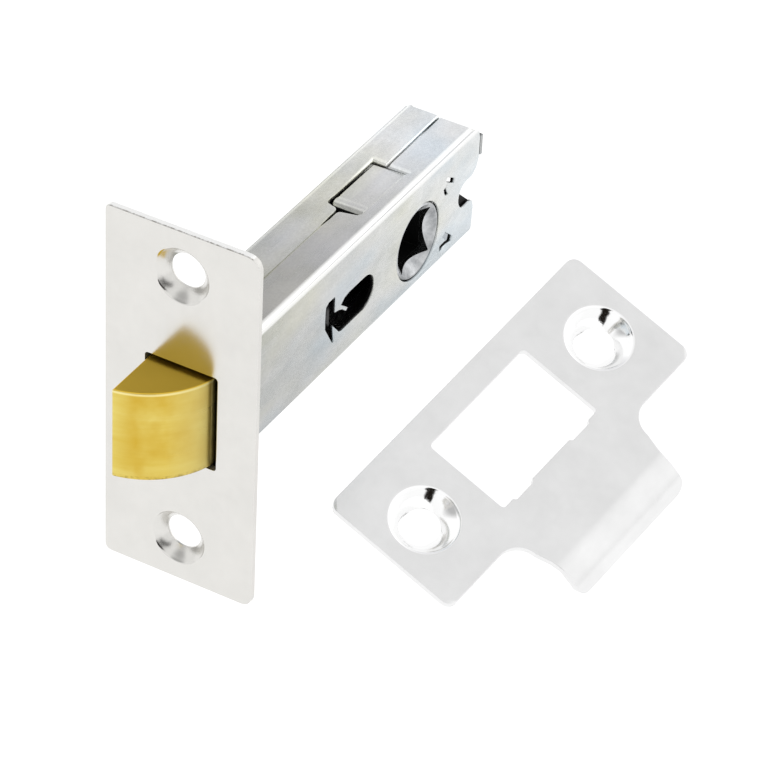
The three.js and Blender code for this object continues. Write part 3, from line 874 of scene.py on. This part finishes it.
    # Right seam edge: round corner, slit, locking tab, slit, then to the rear.
    outline += [(u_end, window["y0"] - 1.3)]
    outline += arc(u_end - 0.8, window["y0"] - 1.2, 0.8, 0, 90, 6)[1:]
    for inwards, v in ((0.6, window["y0"] + 0.15), (0.3, window["y0"] + 0.6), (0.6, tab["y0"])):
        outline.append((right_top_u(window["x1"] - inwards), v))
    outline += [(right_top_u(tab["x0"]), tab["y0"]), (right_top_u(tab["x0"]), tab["y1"])]
    outline += [(right_top_u(window["x1"] - 0.2), tab["y1"]), (right_top_u(window["x1"] - 0.1), window["y1"])]
    outline += [(u_end, window["y1"]), (u_end, CASE["top_end"])]
    # Rear end, from the right flange round to the left one.
    outline += [(stops[7] + quarter * 0.5, CASE["top_end"])]
    outline += [(right_u(z), v) for v, z in ear_line + notch_arc + lower_ear]
    outline += [(stops[5] + quarter * 0.4, 73.8), (stops[4] + quarter * 0.6, 73.8)]
    left_line = [(left_u(z), v) for v, z in (ear_line + notch_arc + lower_ear)[::-1]]
    low_corner = [i for i, (u, v) in enumerate(left_line) if abs(v - CASE["ear_end"]) < 1e-6][0]
    outline += left_line[:low_corner]
    strip_end = wrap["start"] + quarter + 2 * half_x - bend - 0.1
    outline += [(left_u(wrap["low"]), CASE["ear_end"] - 0.1), (left_u(wrap["low"]), strip_end)]
    outline += [(left_u(wrap["high"]), strip_end), (left_u(wrap["high"]), CASE["ear_end"] - 0.1)]
    outline += left_line[low_corner + 2:]
    outline += [(stops[1] + quarter * 0.5, CASE["top_end"]), (0, CASE["top_end"])]
    # Left seam edge, with its side of the window.
    wx = left_top_u(window["x0"])
    outline += [(0, window["y1"]), (wx, window["y1"]), (wx, window["y0"] + 0.6)]
    outline += [(wx - 0.3, window["y0"] + 0.25), (0.9, window["y0"] - 0.1)]
    outline += arc(0.9, window["y0"] - 1.0, 0.9, 90, 180, 5)
    outline += [(0, window["y0"] - 3), (0, window["y0"] - 5.5)]

    holes = []
    for to_u in (left_u, right_u):
        holes.append([(to_u(z), y) for y, z in circle(spindle[1], spindle[2], CASE["follower_hole"], 96)])
        holes.append([(to_u(z), y) for y, z in FRONT_SLOT])
        for (py, pz), slits in zip(PIPS, PIP_SLITS):
            holes += [[(to_u(pz + dz), py + dy) for dy, dz in slit] for slit in slits]
    lines = []
    for k in (1, 3, 5, 7):
        for share in np.linspace(0, 1, 9):
            u = stops[k] + runs[k] * share
            lines.append(((u, front), (u, 76)))
    for v in np.linspace(tab["y0"] + 0.2, tab["y0"] + 2.6, 9):
        lines.append(((right_top_u(window["x1"] - 0.02), v), (right_top_u(tab["x0"] + 0.05), v)))
    for share in (0, 0.25, 0.5, 0.75, 1):
        u = right_top_u(window["x1"] - 0.5 * share)
        lines.append(((u, tab["y0"] + 0.1), (u, tab["y1"] - 0.1)))
    lip = window["y1"] + np.append(np.linspace(0.25, 0.9, 5), [1.1, 1.6])
    for v in lip:
        lines.append(((0.25, v), (flange, v)))
        lines.append(((stops[8], v), (u_end - 0.25, v)))
    beside = [left_top_u(window["x0"] - d) for d in (0, 0.3, 0.6)]
    beside += [right_top_u(window["x1"] + d) for d in (0, 0.25, 0.5)]
    for u in beside:
        lines.append(((u, window["y1"] + 0.25), (u, window["y1"] + 1.6)))
    for share in np.linspace(0, 1, 9):
        v = wrap["start"] + quarter * share
        lines.append(((left_u(wrap["high"]) + 0.02, v), (left_u(wrap["low"]) - 0.02, v)))
    for to_u in (left_u, right_u):
        for py, pz in PIPS:
            for radius in (0.3, 0.6, 0.95, 1.25):
                lines += loop_sides([(to_u(z), y) for y, z in circle(py, pz, radius, 20)])

    def softness(u, v):
        on_seam = ((u < 0.5) | (u > u_end - 0.5)) & (v < window["y0"] - 4)
        return np.where(on_seam, 0.12, 1.0)

    shell = sheet_metal("folded_case", outline, holes, lines, surface, wall, 0.2, softness)
    # A small web bent in from the lower ear shows in the notch, coloured nearly black by the painted shade of the
    # inside.
    web = [(70.0, -0.45), (74.6, -4.7), (74.0, -5.8), (70.0, -5.8)]
    combine(shell, prism("rear_web", web, 0, half_x - wall - 0.35, half_x - wall + 0.1), "UNION")
    return place(shell, "case", "zinc_plate", "case_shell")


# Two lanced pips on each side: where they are, and the slits round them, in (y, z).
PIPS = [(66.0, 3.4), (65.9, -7.5)]
PIP_SLITS = [
    [[(-1.1, 1.3), (-0.6, 1.75), (1.6, 0.4), (1.4, -0.3), (0.7, 0.05)],
     [(-1.8, 0.0), (-1.0, 0.2), (-0.3, -1.4), (-1.1, -1.3)]],
    [[(-1.2, 2.1), (-0.4, 2.5), (1.9, 0.6), (1.6, -0.2), (-2.0, -0.2), (-1.9, 0.75), (0.2, 0.8)]],
]


def front_slot():
    """Fixing slot, joined to the lanced window in front of it, in (y, z)."""
    y, z, r = spindle[1] - 16, spindle[2], 2.9
    rear = arc(y, z, r, -90, 90, 14)
    upper = [(36.5, z + r), (35.2, z + r - 0.25), (34.2, z + r - 0.9), (36.3, z + 0.35), (35.7, z - 0.05),
             (34.6, z + 0.9), (33.6, z + 1.35), (32.45, z + 1.6), (32.45, 2.4)]
    front = [(32.2, 2.75), (30.6, 2.75), (29.9, 2.3), (29.8, 1.5), (29.8, -1.6), (32.0, -5.3), (32.3, -5.3)]
    lower = [(31.95, -2.5), (32.1, -2.3), (33.9, z - r + 0.25), (34.6, z - r)]
    return rear + upper + front + lower


FRONT_SLOT = front_slot()

# ---------------------------------------------------------------- bolt and its inner parts


NOSE_RADIUS = 13.25
ROD_FRONT = rod_low[1] + 2.2


def latch_bolt():
    """Brass bolt with a curved nose, bored from behind for its spring and its tail rod."""
    left, right = bolt_low[0] - 0.15, bolt_high[0]
    low, high, back = bolt_low[2] - 0.6, bolt_high[2] + 0.05, bolt_high[1]
    nose = NOSE_RADIUS
    cx, cy = left - 2.25, bolt_low[1] + nose + 0.5
    angles = [-math.degrees(math.acos((x - cx) / nose)) for x in (left + 0.05, right)]
    loop = [(left, back)] + arc(cx, cy, nose, *angles, 48) + [(right, back)]
    body = prism("brass_bolt", loop, 2, low, high)
    bevel(body, 0.42, 4, 30)
    bake_modifiers(body)
    bore = [(0, -3), (3.45, -3), (3.45, back + 1), (0, back + 1)]
    combine(body, lathe("bore", bore, 1, steps=64), "DIFFERENCE")
    bottom = ROD_FRONT - 0.1
    socket = [(0, bottom), (1.83, bottom), (1.83, 0), (0, 0)]
    combine(body, lathe("socket", socket, 1, steps=48), "DIFFERENCE")
    shade(body, 50)
    return place(body, "bolt", "brass", "latch_bolt")


def bolt_rod():
    """Tail rod, with a groove for its retaining ring."""
    radius, front, end = rod_high[0], ROD_FRONT, rod_high[1]
    neck = radius - 0.45
    profile = [(0, front), (radius - 0.5, front), (radius - 0.1, front + 0.3), (radius, front + 0.6)]
    profile += [(radius, end - 1.3), (neck, end - 1.3), (neck, end - 0.5), (radius, end - 0.5)]
    profile += [(radius, end - 0.3), (radius - 0.25, end), (0, end)]
    return place(shade(lathe("tail_rod", profile, 1, steps=64)), "bolt", "spring_steel", "bolt_rod")


def rod_washer():
    low, high = mm_box("rod_washer")
    inner, outer, soft = rod_high[0] + 0.1, high[0], 0.08
    y0, y1 = low[1], high[1]
    profile = [(inner, y0 + soft), (inner + soft, y0), (outer - soft, y0), (outer, y0 + soft)]
    profile += [(outer, y1 - soft), (outer - soft, y1), (inner + soft, y1), (inner, y1 - soft)]
    return place(shade(lathe("tail_washer", profile, 1, steps=64)), "bolt", "zinc_plate", "rod_washer")


def spring(name, node, radius, wire, turns, y0, y1, slot="spring_steel"):
    """A coil from y0 to y1 that stands for the hidden CAD node; it is given no body, and its place is baked into
    the mesh.
    """
    obj = coil(name, radius, wire, turns, y0, y1)
    place(obj, None, slot, node)
    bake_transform(obj)
    return obj


def follower():
    """Hub, flange and horn with conical mouths round the square hole."""
    half, flange_half = follower_high[0], 4.9
    journal, flange, soft = 6.25, 7.0, 0.15
    mouth, inner, depth = 5.8, 3.2, 2.0
    profile = [(0, -half + depth), (inner, -half + depth), (mouth, -half), (journal - soft, -half)]
    profile += [(journal, -half + soft), (journal, -flange_half), (flange - soft, -flange_half)]
    profile += [(flange, -flange_half + soft)]
    profile += [(r, -x) for r, x in profile[::-1]]
    hub = lathe("follower_hub", profile, 0, spindle, 128)
    lean = math.radians(34)
    along = np.array([-math.sin(lean), math.cos(lean)])
    across = np.array([math.cos(lean), math.sin(lean)])
    corner = [(-1.3, 3), (1.3, 3), (1.3, 9.4), (0.9, 9.9), (-0.9, 9.9), (-1.3, 9.4)]
    loop = [tuple(spindle[1:] + a * across + b * along) for a, b in corner]
    combine(hub, prism("horn", loop, 0, -1.8, 1.8), "UNION")
    square = fillet([(-4, -4), (4, -4), (4, 4), (-4, 4)], [0.25] * 4, 3)
    loop = [(spindle[1] + a, spindle[2] + b) for a, b in square]
    combine(hub, prism("square", loop, 0, -10, 10), "DIFFERENCE")
    shade(hub, 28)
    return place(hub, "follower", "cast_zinc", "follower")


# ---------------------------------------------------------------- strike plate

STRIKE = {"thickness": 1.3, "long": 61.8, "wide": 25, "spacing": 44.4}
STRIKE |= {"bend_start": 19.6, "bend": 7.4, "angle": 62}
STRIKE_SINK = {"rim": 5.7, "hole": 2.95, "cone": 2.6, "land": 0.3}


def strike_frame():
    """Origin and axes of the strike plate: long side, tongue side and front normal."""
    mount = mounts["strike_back"]
    front = -np.array(mount["axis"], float)
    front /= np.linalg.norm(front)
    # The long side points roughly this way, and is then made square to the front.
    long = np.array([-0.173, -0.943, -0.284])
    tongue = np.cross(front, long)
    tongue /= np.linalg.norm(tongue)
    long = np.cross(tongue, front)
    # The mount lies on the back, 10 mm from the middle.
    origin = np.array(mount["pos_m"]) / MM + 10 * tongue + STRIKE["thickness"] * front
    return origin, long, tongue, front


def strike_plate():
    origin, long_axis, tongue_axis, front_axis = strike_frame()
    long, edge = STRIKE["long"] / 2, STRIKE["wide"] / 2
    thickness, bend, start = STRIKE["thickness"], STRIKE["bend"], STRIKE["bend_start"]
    mid = bend - thickness / 2
    reach = mid * math.radians(STRIKE["angle"])
    root, tip, r = 14.4, 13.4, 4.0
    end = start + reach

    half = arc(long - 1.8, -edge + 1.8, 1.8, -90, 0) + arc(long - 1.8, edge - 1.8, 1.8, 0, 90)
    half += arc(root + r, edge + r, r, -90, -180, 14)
    half += [(tip + 0.25, start - 0.5), (tip, start + 1.5)]
    half += arc(tip - 2.2, end - 2.2, 2.2, 0, 90, 8)
    outline = half + [(-x, y) for x, y in half[::-1]]

    y0, y1, x1 = 0.1 - 7.7, 0.1 + 7.7, 11.9
    window = fillet([(-x1, y0), (x1, y0), (x1, y1), (9.6, y1), (9.2, y1 + 0.5), (5.1, y1 + 0.5), (4.7, y1),
                     (-4.7, y1), (-5.1, y1 + 0.5), (-9.2, y1 + 0.5), (-9.6, y1), (-x1, y1)],
                    [0.9, 0.9, 0.7, 0.2, 0.3, 0.3, 0.2, 0.2, 0.3, 0.3, 0.2, 0.7], 4)
    centres = [(STRIKE["spacing"] / 2, 0), (-STRIKE["spacing"] / 2, 0)]
    sink = countersink(**STRIKE_SINK, thickness=thickness)
    holes = [circle(cu, cv, sink["inner"]) for cu, cv in centres] + [window]
    lines = ring_lines(sink, centres)
    for share in np.linspace(0, 1, 17):
        v = start + reach * share
        lines.append(((-tip + 0.05, v), (tip - 0.05, v)))

    def surface(u, v, depth):
        u, v, depth = press(sink, centres, u, v, depth)
        s = np.maximum(v - start, 0)
        a = s / mid
        y = np.where(s > 0, start + (bend - depth) * np.sin(a), v)
        n = np.where(s > 0, -bend + (bend - depth) * np.cos(a), -depth)
        return origin + u[:, None] * long_axis + y[:, None] * tongue_axis + n[:, None] * front_axis

    plate = sheet_metal("strike", outline, holes, lines, surface, thickness, 0.12)
    return place(plate, "strike", "satin_steel", "strike_plate")


# ---------------------------------------------------------------- the CAD nodes that stay


def finish_cad_node(node, slot, soft=0.1):
    """Gives a CAD node that stays its material and softened edges."""
    obj = frame["nodes"][node]
    if obj.data.materials:
        obj.data.materials[0] = materials[slot]
    else:
        obj.data.materials.append(materials[slot])
    bevel(obj, soft)


materials = {
    "satin_nickel": satin_nickel(),
    "satin_steel": satin_steel(),
    "zinc_plate": zinc_plate(),
    "brass": brass(),
    "cast_zinc": cast_zinc(),
    "inner_steel": inner_steel(),
    "spring_steel": spring_steel(),
}


# ---------------------------------------------------------------- assembly

faceplate()
case_shell()
latch_bolt()
bolt_rod()
rod_washer()
follower()
strike_plate()
spring("inner_spring", "bolt_spring", 3, 0.35, 8, -3, retractor_low[1])
spring("carriage_spring", "return_spring", 4.4, 0.45, 5,
       retractor_low[1] + 1.2, abutment_low[1])
finish_cad_node("retractor", "inner_steel")
finish_cad_node("pull_pin", "spring_steel")
finish_cad_node("rod_clip", "spring_steel", 0.06)
finish_cad_node("spring_abutment", "inner_steel")

# ---------------------------------------------------------------- studio


def floor():
    """A wide white sweep under the object, partly lit from within so that no shadow shows on it."""
    low, _ = cad_bounds
    bpy.ops.mesh.primitive_plane_add(size=6.0, location=(0, 0, low[2] - 0.03))
    plane = bpy.context.object
    plane.name = "studio_floor"
    n = Nodes("studio_floor")
    looks = {"Base Color": (0.3, 0.3, 0.3, 1), "Roughness": 1.0, "Specular IOR Level": 0.0}
    looks |= {"Emission Color": (1, 1, 1, 1), "Emission Strength": 0.84}
    for name, value in looks.items():
        n.shader.inputs[name].default_value = value
    plane.data.materials.append(n.owner)


# Zones of the surround that the metal mirrors: direction, radius and soft edge in degrees, colour. The dark
# ones lie round the camera and stand in for whoever holds it.
DARK = (0.01, 0.008, 0.006)
STUDIO_ZONES = [
    ((-0.42, 0.67, 0.62), 15, 14, (0.78, 0.78, 0.80)),
    ((0.45, -0.72, 0.5), 6, 3, DARK),
    ((0.48, -0.8, 0.3), 8, 3, DARK),
    ((0.5, -0.85, 0.06), 10, 3, DARK),
    ((0.57, 0.7, 0.36), 16, 16, (1.5, 1.5, 1.5)),
    ((0.78, 0.2, 0.58), 18, 18, (1.12, 1.12, 1.12)),
    ((-0.38, -0.7, 0.6), 12, 12, (0.5, 0.5, 0.5)),
]


def studio():
    """A white surround that is a little darker overhead, with the zones above."""
    n = Nodes("studio", bpy.data.worlds, "Background", "Generated")
    bpy.context.scene.world = n.owner
    levels = [(0.0, 1.0), (0.5, 1.06), (0.66, 1.04), (0.9, 0.95), (1.0, 0.93)]
    result = n.ramp(n.coordinate(2), [(height, (level,) * 3) for height, level in levels])
    for centre, radius, softness, colour in STUDIO_ZONES:
        dot = n.measure("DOT_PRODUCT", Vector(centre).normalized())
        outer, inner = (math.cos(math.radians(a)) for a in (radius + softness, radius))
        result = n.mix(n.spread(dot, 0.0, 1.0, outer, inner), result, colour)
    n.link(result, n.shader.inputs["Color"])
    n.shader.inputs["Strength"].default_value = 1.0
    bpy.context.scene.view_settings.view_transform = "Standard"


# Lens in millimetres on a 36 mm wide sensor; place in metres.
CAMERA = {"lens": 189.64, "place": (0.24123, -0.3842, 0.34581)}
CAMERA |= {"forward": (-0.38197, 0.7032, -0.59968), "up": (-0.33122, 0.50161, 0.79917)}


def camera():
    data = bpy.data.cameras.new("camera")
    obj = bpy.data.objects.new("camera", data)
    bpy.context.scene.collection.objects.link(obj)
    data.sensor_width = 36
    data.lens = CAMERA["lens"]
    data.clip_start, data.clip_end = 0.01, 10
    obj.location = CAMERA["place"]
    forward, up = Vector(CAMERA["forward"]).normalized(), Vector(CAMERA["up"])
    right = forward.cross(up).normalized()
    up = right.cross(forward)
    rotation = Matrix((right, up, -forward)).transposed()
    obj.rotation_euler = rotation.to_euler()
    bpy.context.scene.camera = obj


floor()
studio()
camera()
